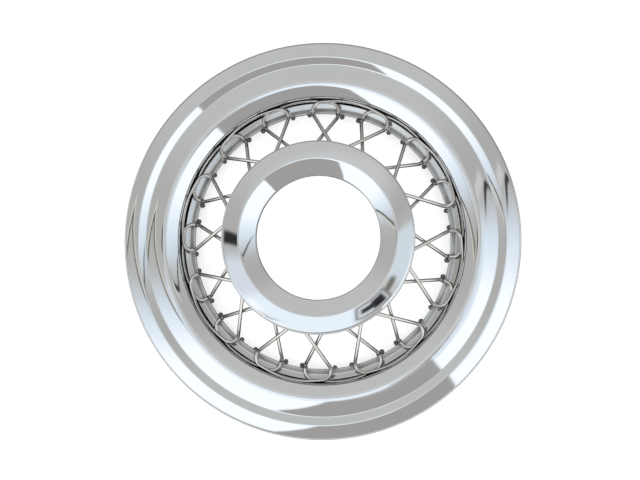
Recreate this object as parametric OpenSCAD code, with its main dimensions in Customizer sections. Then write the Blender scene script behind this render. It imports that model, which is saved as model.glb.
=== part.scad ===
// Wire wheel cover: a polished trim ring and a raised hub ring joined by laced wire spokes.
// The axis is +Z, the face looks up, and the rear edge stands on Z = 0.

/* [Trim ring] */
// Diameter over the rolled outer edge
cover_d = 400; // [385:1:415]
// Thickness of the stamped sheet
sheet_t = 0.9; // [0.7:0.1:1.1]
// Height of the outer edge above the rear edge of the cover
rim_height = 24; // [21:0.5:30]
// Height of the rolled outer edge
edge_h = 4.2; // [4:0.1:5.5]
// Radius of the rolled outer edge
edge_round = 2; // [1.5:0.1:2.2]
// Width of the hem that is folded under the outer edge
hem_w = 6.5; // [5:0.5:8]
// Width of the outer band
outer_band_w = 14.8; // [12:0.1:18]
// Width of the step between the two bands
step_w = 7.6; // [6.5:0.1:9]
// Width of the inner band
inner_band_w = 19.4; // [16:0.1:22]
// Width of the inner wall that falls to the lip
wall_w = 14.6; // [13:0.1:17]
// Slope of the outer band
outer_band_slope = 15; // [12:1:20]
// Slope of the step
step_slope = 24; // [19:1:29]
// Slope of the inner band
inner_band_slope = 15; // [12:1:19]
// Slope of the inner wall
wall_slope = 22; // [18:1:26]
// Height of the upright lip below the inner wall
lip_h = 4; // [3.8:0.1:6]
// Width of the hem that is folded behind the lip
lip_hem_w = 3.4; // [2.5:0.1:4]
// Radius of the outer crest
outer_crest_round = 3; // [2:0.5:4]
// Radius of the fold at the foot of the step
step_round = 2.5; // [1.5:0.5:4]
// Radius of the inner crest
inner_crest_round = 12; // [8:0.5:13]
// Radius of the roll into the lip
lip_round = 3.5; // [2.5:0.5:3.5]

/* [Spoke bed] */
// Width of the bed that shows inside the lip
bed_w = 14.6; // [12:0.1:17]
// Width of the inner facet, which falls outward to the valley of the bed
bed_fall_w = 5.6; // [5:0.1:6.4]
// Slope of the inner facet
bed_fall_slope = 26; // [20:1:32]
// Width of the outer facet, which rises outward from the valley
bed_rise_w = 5.4; // [4.6:0.1:5.8]
// Slope of the outer facet
bed_rise_slope = 14; // [8:1:18]
// Depth of the trough that the bed drops into under the lip
bed_drop_h = 6; // [4.5:0.5:7]
// Depth of the folded edge at the inside of the bed
bed_edge_h = 3.4; // [3:0.1:5]
// Width of the flange that lies against the back of the inner wall
bed_flange_w = 4.2; // [3:0.1:4.6]
// Wall of an eyelet around its wire
eyelet_wall = 1; // [0.8:0.1:1.2]
// Diameter of the knuckle that each eyelet's tab ends in
knuckle_d = 5.8; // [5.2:0.2:6.4]

/* [Spoke wires] */
// Diameter of the wire
wire_d = 3.2; // [2.8:0.1:3.6]
// Clearance round the wire where it is held
seat_gap = 0.25; // [0.15:0.05:0.35]
// Clearance between two wires that cross
cross_gap = 0.3; // [0.2:0.05:0.6]
// Extra space between the two layers of wire under the lip, as their slopes draw together
layer_gap = 0.8; // [0.7:0.1:1.2]
// How far the wire reaches under the lip
tuck = 1; // [0.4:0.1:1.4]
// Angle from a crossing to the eyelets of its two wires
eyelet_angle = 5.7; // [5.3:0.1:6.2]
// Angle from a crossing to the hub ends of its two wires
hub_angle = 6.9; // [6:0.1:7.6]
// How far a front wire bends inside the edge of the bed
front_reach = 0.8; // [0.4:0.1:1.4]
// How far a rear wire bends inside the edge of the bed
rear_reach = 3.5; // [3:0.1:4]
// Slope of the tail of a front wire
front_tilt = 9.5; // [8:0.5:12]
// Slope of the tail of a rear wire
rear_tilt = 15; // [14:0.5:17]
// Bend radius of the flat arc under the lip
arc_round = 75; // [68:1:82]
// Bend radius where the arc turns inward
tail_round = 6.5; // [5.5:0.5:7.5]
// Bend radius at the eyelet
eyelet_round = 4; // [3.5:0.5:5]
// Bend radius at the hub
foot_round = 5; // [4:0.5:6]
// Length of wire held in the hub
foot_l = 9; // [6:0.5:10]

/* [Hub ring] */
// Diameter over the outer edge of the hub ring
hub_d = 192.4; // [188:0.2:198]
// Diameter of the crest
crest_d = 156.4; // [150:0.2:164]
// Diameter of the bore
hub_bore_d = 123; // [116:0.5:130]
// Height of the hub ring's outer edge above the outer edge of the cover
hub_rise = 47; // [40:0.5:54]
// Slope of the hub's outer cone
hub_slope = 9; // [6:0.5:13]
// Slope of the hub's inner cone
hub_dish_slope = 23; // [18:1:28]
// Height of the turned-down outer edge
hub_edge_h = 3.6; // [3:0.1:5]
// Depth of the bore wall below the inner cone
bore_wall_h = 7; // [5.5:0.1:9]
// Width of the hem that holds the backing ring
hub_hem_w = 5; // [3:0.5:7]
// Clearance between the hub ring and its backing ring
backing_gap = 0.2; // [0.1:0.05:0.3]
// Thickness of the backing ring's web
web_t = 1.8; // [1.2:0.1:2.4]

/* [Retention ring] */
// Thickness of the spring steel
spring_t = 1; // [0.8:0.1:1.2]
// Width of the flange that the outer hem holds
grip_flange_w = 15; // [12:0.5:18]
// Slope of the gripping wall, in from its flange
grip_lean = 8; // [4:1:12]
// Number of spring teeth
tooth_count = 24; // [16:4:32]
// Share of the wall that the teeth take
tooth_share = 0.7; // [0.5:0.05:0.8]
// Depth of the slots between the teeth
slot_h = 12; // [9:0.5:14]
// How far the tooth edges stand out
barb_h = 1.4; // [1:0.1:2]

/* [Hidden] */
crossings = 16;
pairs = crossings / 2;
$fn = 96;

swell = 0.02;
lap = 0.1;
wire_r = wire_d / 2;
seat_r = wire_r + seat_gap;
cover_r = cover_d / 2;
pitch = 360 / crossings;

// Plain geometry: points on an arc round each corner of an outline, and its parallel at a distance.
function unit(v) = v / norm(v);
function polar(r, a, z) = [r * sin(a), r * cos(a), z];
function turn(a, b, c) = acos(min(1, max(-1, unit(b - a) * unit(c - b))));
function left(v) = [-v.y, v.x];
function side(a, b, c) = sign(cross(b - a, c - b));

// One corner of an outline, given as [r, z, radius], turned into points on its arc.
function corner(a, b, c, radius, step = 12) =
    let (
        angle = turn(a, b, c),
        u = unit(b - a),
        s = side(a, b, c),
        start = b - u * radius * tan(angle / 2),
        centre = start + left(u) * s * radius,
        count = max(1, ceil(angle / step)),
        first = atan2(start.y - centre.y, start.x - centre.x)
    )
    [
        for (i = [0:count])
            let (at = first + s * angle * i / count)
            centre + radius * [cos(at), sin(at)]
    ];

function flat2(p) = [p.x, p.y];
function rounded(path) = [
    for (i = [0:len(path) - 1])
        let (b = flat2(path[i]), r = len(path[i]) > 2 ? path[i][2] : 0)
        if (r == 0) b
        else each corner(flat2(path[i - 1]), b, flat2(path[i + 1]), r)
];

// The outline moved sideways by d, to its left as it is walked.
function beside(path, d) = [
    for (i = [0:len(path) - 1])
        let (
            before = i == 0 ? unit(path[1] - path[0]) : unit(path[i] - path[i - 1]),
            after = i == len(path) - 1 ? before : unit(path[i + 1] - path[i]),
            middle = unit(left(before) + left(after))
        )
        path[i] + middle * d / (middle * left(before))
];
function reversed(list) = [for (i = [len(list) - 1:-1:0]) list[i]];

// A sheet ring: the outline is its face, and the metal lies t to the left of it.
module sheet_ring(path, t) {
    face = rounded(path);
    rotate_extrude($fn = 180) polygon(concat(face, reversed(beside(face, t))));
}

// Trim ring outline, from the folded hem over the bands to the hem behind the lip.
outer_crest_r = cover_r - outer_band_w;
step_r = outer_crest_r - step_w;
inner_crest_r = step_r - inner_band_w;
lip_r = inner_crest_r - wall_w;
edge_z = rim_height - edge_h / 2;
band_z = rim_height + edge_h / 2;
outer_crest_z = band_z + outer_band_w * tan(outer_band_slope);
step_z = outer_crest_z - step_w * tan(step_slope);
inner_crest_z = step_z + inner_band_w * tan(inner_band_slope);
wall_z = inner_crest_z - wall_w * tan(wall_slope);
lip_z = wall_z - lip_h;
fold_round = 1.2 * sheet_t;
trim_path = [
    [cover_r - hem_w, edge_z],
    [cover_r, edge_z, edge_round],
    [cover_r, band_z, edge_round],
    [outer_crest_r, outer_crest_z, outer_crest_round],
    [step_r, step_z, step_round],
    [inner_crest_r, inner_crest_z, inner_crest_round],
    [lip_r, wall_z, lip_round],
    [lip_r, lip_z, fold_round],
    [lip_r + lip_hem_w, lip_z]
];

// Levels of the two layers of wire under the lip.
front_apex_z = lip_z - seat_gap - wire_r;
rear_apex_z = front_apex_z - (wire_d + cross_gap) / cos(rear_tilt) - layer_gap;
apex_r = lip_r + tuck - wire_r;

// Spoke bed outline: folded inner edge, valley, crest under the rear wires, trough, riser, flange.
drop_slope = 65;
bed_inner_r = lip_r - bed_w;
valley_r = bed_inner_r + bed_fall_w;
bed_crest_r = valley_r + bed_rise_w;
tail_under_z = (wire_r + 2 * seat_gap) / cos(rear_tilt);
bed_crest_z = rear_apex_z + (apex_r - bed_crest_r) * tan(rear_tilt) - tail_under_z;
valley_z = bed_crest_z - bed_rise_w * tan(bed_rise_slope);
bed_inner_z = valley_z + bed_fall_w * tan(bed_fall_slope);
trough_r = bed_crest_r + bed_drop_h / tan(drop_slope);
trough_z = bed_crest_z - bed_drop_h;
riser_r = lip_r + lip_hem_w + 3 * sheet_t;
function wall_back_z(r) = wall_z + (r - lip_r) * tan(wall_slope) - sheet_t / cos(wall_slope);
flange_r = riser_r + bed_flange_w * cos(wall_slope);
bed_path = [
    [bed_inner_r, bed_inner_z - bed_edge_h],
    [bed_inner_r, bed_inner_z, fold_round],
    [valley_r, valley_z, 3],
    [bed_crest_r, bed_crest_z, fold_round],
    [trough_r, trough_z, 2 * sheet_t],
    [riser_r, trough_z, 3 * sheet_t],
    [riser_r, wall_back_z(riser_r), fold_round],
    [flange_r, wall_back_z(flange_r)]
];

// Hub ring outline, from the turned-down edge over the crest to the hem inside the bore.
hub_r = hub_d / 2;
crest_r = crest_d / 2;
bore_r = hub_bore_d / 2;
hub_z = rim_height + hub_rise;
crest_z = hub_z + (hub_r - crest_r) * tan(hub_slope);
dish_z = crest_z - (crest_r - bore_r) * tan(hub_dish_slope);
hub_hem_z = dish_z - bore_wall_h;
hub_path = [
    [hub_r, hub_z - hub_edge_h],
    [hub_r, hub_z, 1.8],
    [crest_r, crest_z, 2.6],
    [bore_r, dish_z, 2],
    [bore_r, hub_hem_z, fold_round],
    [bore_r + hub_hem_w, hub_hem_z]
];

// Wire corners, for a hairpin whose middle lies on +Y, given for its right half.
front_middle = pitch / 2;
end_azimuth = front_middle + eyelet_angle;
hub_azimuth = front_middle - hub_angle;
foot_z = hub_z - hub_edge_h;
front_eyelet_r = bed_inner_r - front_reach;
rear_eyelet_r = bed_inner_r - rear_reach;
leg_slope = atan2(foot_z - front_apex_z, front_eyelet_r - hub_r + sheet_t + wire_d);
front_hub_r = hub_r - sheet_t - (wire_r + 2 * seat_gap) / sin(leg_slope);

// A rear leg clears the front one by cross_gap where they cross, so its hub end steps in by hub_step.
outer_run = front_eyelet_r * sin(eyelet_angle);
cross_share = outer_run / (outer_run + front_hub_r * sin(hub_angle));
rear_shift = (wire_d + cross_gap) / sin(leg_slope);
hub_step = (rear_shift - (rear_reach - front_reach) * (1 - cross_share)) / cross_share;
rear_hub_r = front_hub_r - hub_step;
foot_run = min(foot_l, rear_hub_r - foot_round - wire_r - bore_r - hub_hem_w);
tail_r = apex_r - wire_d;

function apex_run(half_turn) = arc_round * (1 / cos(half_turn) - 1);
// The corner that the arc's two ends point at: its distance from the middle settles in a few steps.
function arc_corner(tail, tilt, over, steps = 8) =
    let (half_turn = atan2((apex_r - tail.y) / cos(tilt) + over, tail.x))
    steps == 0 ? over : arc_corner(tail, tilt, apex_run(half_turn), steps - 1);

function wire_corners(eyelet_r, hub_end_r, apex_z, tilt) =
    let (
        tail = [tail_r * sin(end_azimuth), tail_r * cos(end_azimuth)],
        over = arc_corner(tail, tilt, 0),
        on_slope = function (x, y) [x, y, apex_z + (apex_r - y) * tan(tilt)],
        foot = polar(hub_end_r, hub_azimuth, foot_z)
    )
    [
        foot - unit([foot.x, foot.y, 0]) * (foot_round + foot_run),
        foot,
        on_slope(eyelet_r * sin(end_azimuth), eyelet_r * cos(end_azimuth)),
        on_slope(tail.x, tail.y),
        on_slope(0, apex_r + over * cos(tilt))
    ];

// Backing ring outline. Its top follows the back of the hub ring.
backing_out_r = rear_hub_r - foot_round;
backing_in_r = backing_out_r - foot_run - wire_r;
backing_z = hub_hem_z + sheet_t;
function under(slope) = (sheet_t + backing_gap) / cos(slope);
function cone_back_z(r) = hub_z + (hub_r - r) * tan(hub_slope) - under(hub_slope);
function dish_back_z(r) = dish_z + (r - bore_r) * tan(hub_dish_slope) - under(hub_dish_slope);
function roof_z(r) = min(cone_back_z(r), dish_back_z(r));
function in_backing(r) = r > backing_in_r && r < backing_out_r;
roof_radii = concat(
    backing_out_r,
    [for (r = [crest_r + 1, crest_r - 1]) if (in_backing(r)) r],
    backing_in_r
);
backing_path = concat(
    [[bore_r + sheet_t + backing_gap, backing_z], [backing_out_r, backing_z]],
    [for (r = roof_radii) [r, roof_z(r)]],
    [[backing_in_r, backing_z + web_t], [bore_r + sheet_t + backing_gap, backing_z + web_t]]
);

// Retention ring outline, from the flange on the hem to the foot of the wall.
grip_out_r = cover_r - edge_round - sheet_t / 2;
grip_in_r = grip_out_r - grip_flange_w;
grip_z = edge_z + sheet_t;
grip_foot_r = grip_in_r - grip_z * tan(grip_lean);
function grip_wall_r(z) = grip_foot_r + z * tan(grip_lean);
grip_path = [
    [grip_out_r, grip_z],
    [grip_in_r, grip_z, 2 * spring_t],
    [grip_foot_r, 0]
];

function flipped(p) = [-p.x, p.y, p.z];
function hairpin(half) = concat(half, [for (i = [3:-1:0]) flipped(half[i])]);
bend_rounds = [0, foot_round, eyelet_round, tail_round, arc_round, tail_round, eyelet_round, foot_round, 0];

front_half = wire_corners(front_eyelet_r, front_hub_r, front_apex_z, front_tilt);
rear_half = wire_corners(rear_eyelet_r, rear_hub_r, rear_apex_z, rear_tilt);

// Turns the frame so that local X, Y and Z lie along x, y and z.
module aligned(x, y, z) {
    tip = asin(-x.z);
    rotate([atan2(y.z, z.z), tip, atan2(x.y, x.x)]) children();
}

// A round bar between two points.
module bar(a, b, r) {
    run = b - a;
    translate(a)
        rotate([0, acos(run.z / norm(run)), atan2(run.y, run.x)])
            cylinder(h = norm(run), r = r);
}

// Length that a bend takes from each of its two straights.
function bend_run(a, b, c, radius) = radius * tan(turn(a, b, c) / 2);

// The bend at corner b, as a piece of a ring.
module bend(a, b, c, radius, r) {
    u = unit(b - a);
    v = unit(c - b);
    n = unit(cross(u, v));
    w = cross(n, u);
    start = b - u * bend_run(a, b, c, radius);
    translate(start + w * radius)
        aligned(-w, u, n)
            rotate_extrude(angle = turn(a, b, c)) translate([radius, 0]) circle(r = r, $fn = 32);
}

// A wire bent round every inner corner of its path. Each bend swells by a hair over its straights,
// which run a little way into it.
module bent_wire(points, rounds, r) {
    last = len(points) - 1;
    runs = [
        for (i = [0:last])
            i == 0 || i == last ? 0
            : bend_run(points[i - 1], points[i], points[i + 1], rounds[i]) - lap
    ];
    for (i = [0:last - 1]) {
        d = unit(points[i + 1] - points[i]);
        bar(points[i] + d * runs[i], points[i + 1] - d * runs[i + 1], r, $fn = 32);
    }
    for (i = [1:last - 1]) bend(points[i - 1], points[i], points[i + 1], rounds[i], r + swell);
}

module trim_ring() {
    color("silver") sheet_ring(trim_path, sheet_t);
}

module hub_ring() {
    color("silver") sheet_ring(hub_path, sheet_t);
}

// Stands a shape at hairpin i of a layer, clockwise from +Y as seen from the front.
module at_hairpin(i, shift) {
    rotate([0, 0, -(shift + (2 * i - 1) * pitch)]) children();
}

// Ends of the straight of a wire that its eyelet holds, from the bend to above the valley.
function held(half) =
    let (
        d = unit(half[3] - half[2]),
        reach = (valley_r - norm(flat2(half[2]))) / norm(flat2(d))
    )
    [half[2] + d * bend_run(half[1], half[2], half[3], eyelet_round), half[2] + d * reach];

// Height of the middle of the sheet in the bed's inner facet.
function bed_middle_z(r) = valley_z + (valley_r - r) * tan(bed_fall_slope) - sheet_t / 2 / cos(bed_fall_slope);

// One eyelet: a sleeve on the wire, a stem down to the inner facet within the sleeve's width and
// length, and the knuckle of its tab on the edge of the bed, below the wire and beside it.
module eyelet(half) {
    ends = held(half);
    outer_r = seat_r + eyelet_wall;
    stem_r = outer_r - eyelet_wall / 3;
    stem_in = max(norm(flat2(ends[0])), bed_inner_r + 2 * sheet_t) + eyelet_wall / 4;
    stem_out = valley_r - eyelet_wall;
    stem_top = ends[1].z - eyelet_wall / 2;
    knuckle_r = knuckle_d / 2;
    knuckle_at = max(norm(flat2(half[2])), bed_inner_r - 0.75 * knuckle_r);
    over = unit(ends[1] - ends[0]);
    difference() {
        union() {
            bar(ends[0], ends[1], outer_r);
            rotate([0, 0, -end_azimuth]) {
                rotate([90, 0, 90])
                    linear_extrude(height = 2 * stem_r, center = true)
                        polygon([
                            [stem_in, bed_middle_z(stem_in)],
                            [stem_out, bed_middle_z(stem_out)],
                            [stem_out, stem_top],
                            [stem_in, stem_top]
                        ]);
                translate([knuckle_r + wire_r / 3, knuckle_at, bed_inner_z]) sphere(r = knuckle_r);
            }
        }
        bar(ends[0] - over, ends[1] + over, seat_r);
    }
}

module eyelets(half) {
    for (flip = [0, 1]) mirror([flip, 0, 0]) eyelet(half, $fn = 32);
}

module spoke_bed() {
    color("gainsboro") {
        sheet_ring(bed_path, -sheet_t);
        for (i = [1:pairs]) {
            at_hairpin(i, -pitch / 2) eyelets(front_half);
            at_hairpin(i, pitch / 2) eyelets(rear_half);
        }
    }
}

// Backing ring: a rim drilled for the feet of the wires, and a web that lies on the hub ring's hem.
module hub_backing_ring() {
    color("gray") difference() {
        rotate_extrude($fn = 180) polygon(backing_path);
        for (i = [1:pairs]) {
            at_hairpin(i, -pitch / 2) foot_bores();
            at_hairpin(i, pitch / 2) foot_bores();
        }
    }
}

module foot_bores() {
    inner = polar(backing_in_r - 1, hub_azimuth, foot_z);
    outer = polar(backing_out_r + 1, hub_azimuth, foot_z);
    for (flip = [0, 1]) mirror([flip, 0, 0]) bar(inner, outer, seat_r);
}

// Section of the barbs: the outer face of the wall bends out above its foot.
module barb() {
    inset = spring_t / 2;
    top_z = slot_h * 0.6;
    low_z = slot_h * 0.2;
    polygon([
        [grip_wall_r(top_z) - inset, top_z],
        [grip_wall_r(low_z) - inset, low_z],
        [grip_wall_r(low_z) + barb_h, low_z],
        [grip_wall_r(low_z) + barb_h, low_z + barb_h / 2]
    ]);
}

// Retention ring: a flange inside the outer hem and a leaning wall, slotted into barbed teeth.
module retention_ring() {
    slot_angle = 360 / tooth_count * (1 - tooth_share);
    color("dimgray") difference() {
        union() {
            sheet_ring(grip_path, -spring_t);
            rotate_extrude($fn = 180) barb();
        }
        for (i = [0:tooth_count - 1])
            rotate([0, 0, (i + 0.5) * 360 / tooth_count - slot_angle / 2])
                rotate_extrude(angle = slot_angle)
                    translate([grip_foot_r - 4 * spring_t, -1]) square([8 * spring_t, slot_h + 1]);
    }
}

module front_wire(i) {
    color("lightgray") at_hairpin(i, -pitch / 2) bent_wire(hairpin(front_half), bend_rounds, wire_r);
}

module rear_wire(i) {
    color("darkgray") at_hairpin(i, pitch / 2) bent_wire(hairpin(rear_half), bend_rounds, wire_r);
}

trim_ring();
spoke_bed();
hub_ring();
hub_backing_ring();
retention_ring();
for (i = [1:pairs]) front_wire(i);
for (i = [1:pairs]) rear_wire(i);
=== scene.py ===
"""Looks of the wire wheel cover: polished rings, laced spoke wires, studio floor, light and camera."""

import math

import bpy
import numpy as np
from bpy.props import FloatProperty, FloatVectorProperty, PointerProperty
from bpy.types import Operator, Panel, PropertyGroup
from mathutils import Matrix, Vector


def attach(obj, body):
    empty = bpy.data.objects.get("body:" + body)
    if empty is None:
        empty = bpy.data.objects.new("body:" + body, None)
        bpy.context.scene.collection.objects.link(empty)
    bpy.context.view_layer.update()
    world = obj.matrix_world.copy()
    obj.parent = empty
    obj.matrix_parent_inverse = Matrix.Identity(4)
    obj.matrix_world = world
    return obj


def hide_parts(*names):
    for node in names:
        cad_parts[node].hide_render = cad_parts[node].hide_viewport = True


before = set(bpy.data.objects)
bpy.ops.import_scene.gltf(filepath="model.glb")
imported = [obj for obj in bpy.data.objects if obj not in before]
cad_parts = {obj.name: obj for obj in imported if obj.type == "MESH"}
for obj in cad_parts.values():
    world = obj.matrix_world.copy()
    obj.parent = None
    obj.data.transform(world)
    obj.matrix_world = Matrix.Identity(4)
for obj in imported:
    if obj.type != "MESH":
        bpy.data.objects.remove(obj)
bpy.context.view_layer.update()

bl_info = {
    "name": "Wire Wheel Cover",
    "version": (1, 0, 0),
    "blender": (4, 5, 0),
    "location": "View3D > Sidebar > Wheel Cover",
    "description": "Builds a polished wire wheel cover round its packed solids",
    "category": "Object",
}

MM = 0.001
BODY = "root"
CROSSINGS = 16
PAIRS = CROSSINGS // 2
PITCH = 2 * math.pi / CROSSINGS

# Width and height of the photograph in pixels
PICTURE_W, PICTURE_H = 640, 480
# Largest turn between two neighbouring points of an arc
ARC_STEP = math.radians(6.5)
# Distance from an end of a straight to the extra point that keeps its shading flat
GUARD = 0.25 * MM
# Spacing of the points on a crowned straight and on a flat one
CROWN_STEP, FLAT_STEP = 2.5 * MM, 4 * MM
# Length from which a straight gets its full crown
CROWN_SPAN = 15 * MM
# Slope from the bed's outer facet down into its trough
DROP_SLOPE = math.radians(65)

# How many times a metre the polishing lines, the broad and the fine variation repeat
LINE_RATE, BROAD_RATE, FINE_RATE = 2600.0, 14.0, 420.0
# Tone of a fold that sees little light
SHADED = (0.03, 0.03, 0.028)


def length(name, text, millimetres):
    """A size in metres, written in millimetres."""
    return FloatProperty(name=name, description=text, default=millimetres * MM, min=0.0, unit="LENGTH")


def slope(name, text, degrees):
    """An angle in radians, written in degrees."""
    return FloatProperty(name=name, description=text, default=math.radians(degrees), unit="ROTATION")


def share(name, text, value):
    """A plain number."""
    return FloatProperty(name=name, description=text, default=value, min=0.0)


def tint(name, text, value):
    """A colour."""
    return FloatVectorProperty(name=name, description=text, default=value, size=3, min=0.0, subtype="COLOR")


class TrimSizes(PropertyGroup):
    """Sizes of the trim ring."""

    cover_d: length("Diameter", "Diameter over the rolled outer edge", 400)
    sheet_t: length("Sheet", "Thickness of the stamped sheet", 0.9)
    rim_height: length("Rim height", "Height of the outer edge above the floor", 24)
    edge_h: length("Edge height", "Height of the rolled outer edge", 4.2)
    edge_round: length("Edge radius", "Radius of the rolled outer edge at its back", 1.5)
    edge_blend: length("Edge blend", "Radius of the blend from the outer band into the edge", 3.4)
    fold: share("Fold", "Radius of a tight fold, in thicknesses of the sheet", 1.2)
    hem_w: length("Hem", "Width of the hem under the outer edge", 6.5)
    outer_band_w: length("Outer band", "Width of the outer band", 14.8)
    step_w: length("Step", "Width of the step between the bands", 7.6)
    inner_band_w: length("Inner band", "Width of the inner band", 19.4)
    wall_w: length("Wall", "Width of the inner wall", 14.6)
    outer_band_slope: slope("Outer band slope", "Slope of the outer band", 15)
    step_slope: slope("Step slope", "Slope of the step", 24)
    inner_band_slope: slope("Inner band slope", "Slope of the inner band", 15)
    wall_slope: slope("Wall slope", "Slope of the inner wall", 22)
    lip_h: length("Lip height", "Height of the upright lip", 4)
    lip_hem_w: length("Lip hem", "Width of the hem behind the lip", 3.4)
    outer_crest_round: length("Outer crest radius", "Radius of the outer crest", 3)
    step_round: length("Step radius", "Radius at the foot of the step", 2.5)
    inner_crest_round: length("Inner crest radius", "Radius of the inner crest", 12)
    lip_round: length("Lip radius", "Radius of the roll into the lip", 3.5)
    crown: length("Crown", "How far the middle of a band stands above the straight between its ends", 0.22)


class BedSizes(PropertyGroup):
    """Sizes of the spoke bed and its eyelets."""

    bed_w: length("Width", "Width of the bed inside the lip", 14.6)
    fall_w: length("Inner facet", "Width of the inner facet, which falls outward to the valley", 5.6)
    fall_slope: slope("Inner slope", "Slope of the inner facet", 26)
    rise_w: length("Outer facet", "Width of the outer facet, which rises outward from the valley", 5.4)
    rise_slope: slope("Outer slope", "Slope of the outer facet", 14)
    valley_round: length("Valley radius", "Radius of the fold between the two facets", 3)
    drop_h: length("Drop", "Depth of the trough under the lip", 6)
    trough_round: length("Trough radius", "Radius at the inner foot of the trough", 1.8)
    riser_round: length("Riser radius", "Radius at the foot of the riser, outside the trough", 2.7)
    riser_gap: length("Riser gap", "Distance from the hem behind the lip to the riser", 2.7)
    bed_edge_h: length("Edge", "Depth of the folded inner edge", 3.4)
    flange_w: length("Flange", "Width of the flange behind the inner wall", 4.2)
    eyelet_wall: length("Eyelet wall", "Wall of an eyelet round its wire", 0.5)
    tab_t: length("Tab", "Half the thickness of the curled end of a tab", 1.15)
    tongue_t: length("Tongue", "Half the width of the tongue along the tail of a wire", 0.9)
    sleeve_share: share("Sleeve share", "How much of the way to the valley the sleeve covers", 0.35)
    tongue_share: share("Tongue share", "How much of the way to the valley the tongue runs", 0.7)
    tongue_taper: share("Tongue taper", "How much thinner the tongue is at its end", 0.6)
    saddle_l: length("Saddle", "Half the length of the saddle under a wire", 1.6)
    saddle_in: length("Saddle place", "How far the middle of the saddle stands inside the valley", 2.2)
    knuckle_in: share("Knuckle place", "How far a knuckle stands inside the bed, in radii of its own", 0.75)
    knuckle_d: length("Knuckle", "Diameter of the knuckle that an eyelet's tab ends in", 6.2)


class WireSizes(PropertyGroup):
    """Sizes of the spoke wires."""

    wire_d: length("Wire", "Diameter of the wire", 3.2)
    drawn_d: length("Drawn wire", "Diameter the wire is drawn with, which fills its seats", 3.6)
    seat_gap: length("Seat gap", "Clearance round the wire where it is held", 0.25)
    cross_gap: length("Cross gap", "Clearance between crossing wires", 0.3)
    layer_gap: length("Layer gap", "Extra space between the two layers of wire", 0.8)
    tuck: length("Tuck", "How far the wire reaches under the lip", 1)
    eyelet_angle: slope("Eyelet angle", "Angle from a crossing to its eyelets", 5.7)
    hub_angle: slope("Hub angle", "Angle from a crossing to the hub ends of its wires", 6.9)
    front_reach: length("Front reach", "How far a front wire bends inside the bed", 0.8)
    rear_reach: length("Rear reach", "How far a rear wire bends inside the bed", 3.5)
    front_tilt: slope("Front tilt", "Slope of the tail of a front wire", 9.5)
    rear_tilt: slope("Rear tilt", "Slope of the tail of a rear wire", 15)
    arc_round: length("Arc radius", "Bend radius of the arc under the lip", 75)
    tail_round: length("Tail radius", "Bend radius where the arc turns inward, as drawn", 9.5)
    eyelet_round: length("Eyelet radius", "Bend radius at the eyelet", 4)
    foot_round: length("Foot radius", "Bend radius at the hub", 5)
    foot_l: length("Foot", "Length of wire held in the hub", 9)


class HubSizes(PropertyGroup):
    """Sizes of the hub ring."""

    hub_d: length("Diameter", "Diameter over the outer edge", 192.4)
    crest_d: length("Crest", "Diameter of the crest", 156.4)
    bore_d: length("Bore", "Diameter of the bore", 123)
    hub_rise: length("Rise", "Height of the hub's edge above the rim's edge", 47)
    hub_slope: slope("Outer slope", "Slope of the outer cone", 9)
    dish_slope: slope("Inner slope", "Slope of the inner cone", 23)
    outer_round: length("Outer edge radius", "Radius of the outer edge", 3.0)
    crest_round: length("Crest radius", "Radius of the crest", 4.5)
    bore_round: length("Bore radius", "Radius of the roll into the bore", 2)
    crown: length("Crown", "How far the middle of a cone stands above the straight between its ends", 0.11)
    edge_h: length("Edge", "Height of the turned-down outer edge", 3.6)
    bore_wall_h: length("Bore wall", "Depth of the bore wall", 7)
    hem_w: length("Hem", "Width of the hem that holds the backing ring", 5)


class FinishSettings(PropertyGroup):
    """Colours and gloss of the metals."""

    sheet_colour: tint("Polished sheet", "Colour of the polished sheet", (0.66, 0.67, 0.68))
    bed_colour: tint("Bed sheet", "Colour of the bed", (0.54, 0.54, 0.53))
    satin_colour: tint("Satin facet", "Colour that the bed's inner facet leans to", (0.71, 0.71, 0.71))
    wire_colour: tint("Wire", "Colour of the spoke wire", (0.62, 0.60, 0.575))
    dull_colour: tint("Plain steel", "Colour of the hidden steel", (0.36, 0.36, 0.37))
    sheet_gloss: share("Sheet roughness", "Roughness of the polished sheet", 0.045)
    bed_gloss: share("Bed roughness", "Roughness of the bed", 0.13)
    wire_gloss: share("Wire roughness", "Roughness of the wire", 0.10)
    dull_gloss: share("Steel roughness", "Roughness of the hidden steel", 0.34)


class StageSettings(PropertyGroup):
    """Camera, floor and light."""

    distance: length("Distance", "Distance from the camera to the cover", 2400)
    tilt: slope("Tilt", "Angle between the view and the axis", 6.1)
    bearing: slope("Bearing", "Direction the camera leans to, clockwise from +Y", 127.7)
    roll: slope("Roll", "How far the cover is rolled clockwise in the picture", 1.4)
    rim_px: share("Rim radius", "Radius of the rim in pixels of a 640 pixel wide picture", 199)
    centre_px: FloatVectorProperty(
        name="Centre",
        description="Centre of the rim in the 640 by 480 picture, in pixels",
        default=(321.6, 240.35),
        size=2,
    )
    floor_size: length("Floor", "Width of the floor", 9000)
    floor_low: tint("Floor, darker", "Darker tone of the floor", (0.93, 0.93, 0.93))
    floor_high: tint("Floor, lighter", "Lighter tone of the floor", (0.95, 0.95, 0.95))
    floor_gloss: share("Floor roughness", "Roughness of the floor", 0.8)
    floor_glow: share("Floor glow", "How much light the floor adds of its own", 0.62)
    tent: tint("Tent", "Light of the plain part of the tent", (0.76, 0.76, 0.75))
    softbox: tint("Softboxes", "Light of the two softboxes", (1.48, 1.54, 1.60))
    softbox_rim: tint("Softbox rims", "Light of the fading sides of the softboxes", (1.04, 1.17, 1.30))
    horizon: tint("Horizon", "Light near the horizon", (0.16, 0.16, 0.16))
    mark: tint("Marks", "Light of the dark marks in the tent", (0.03, 0.03, 0.035))


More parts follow.
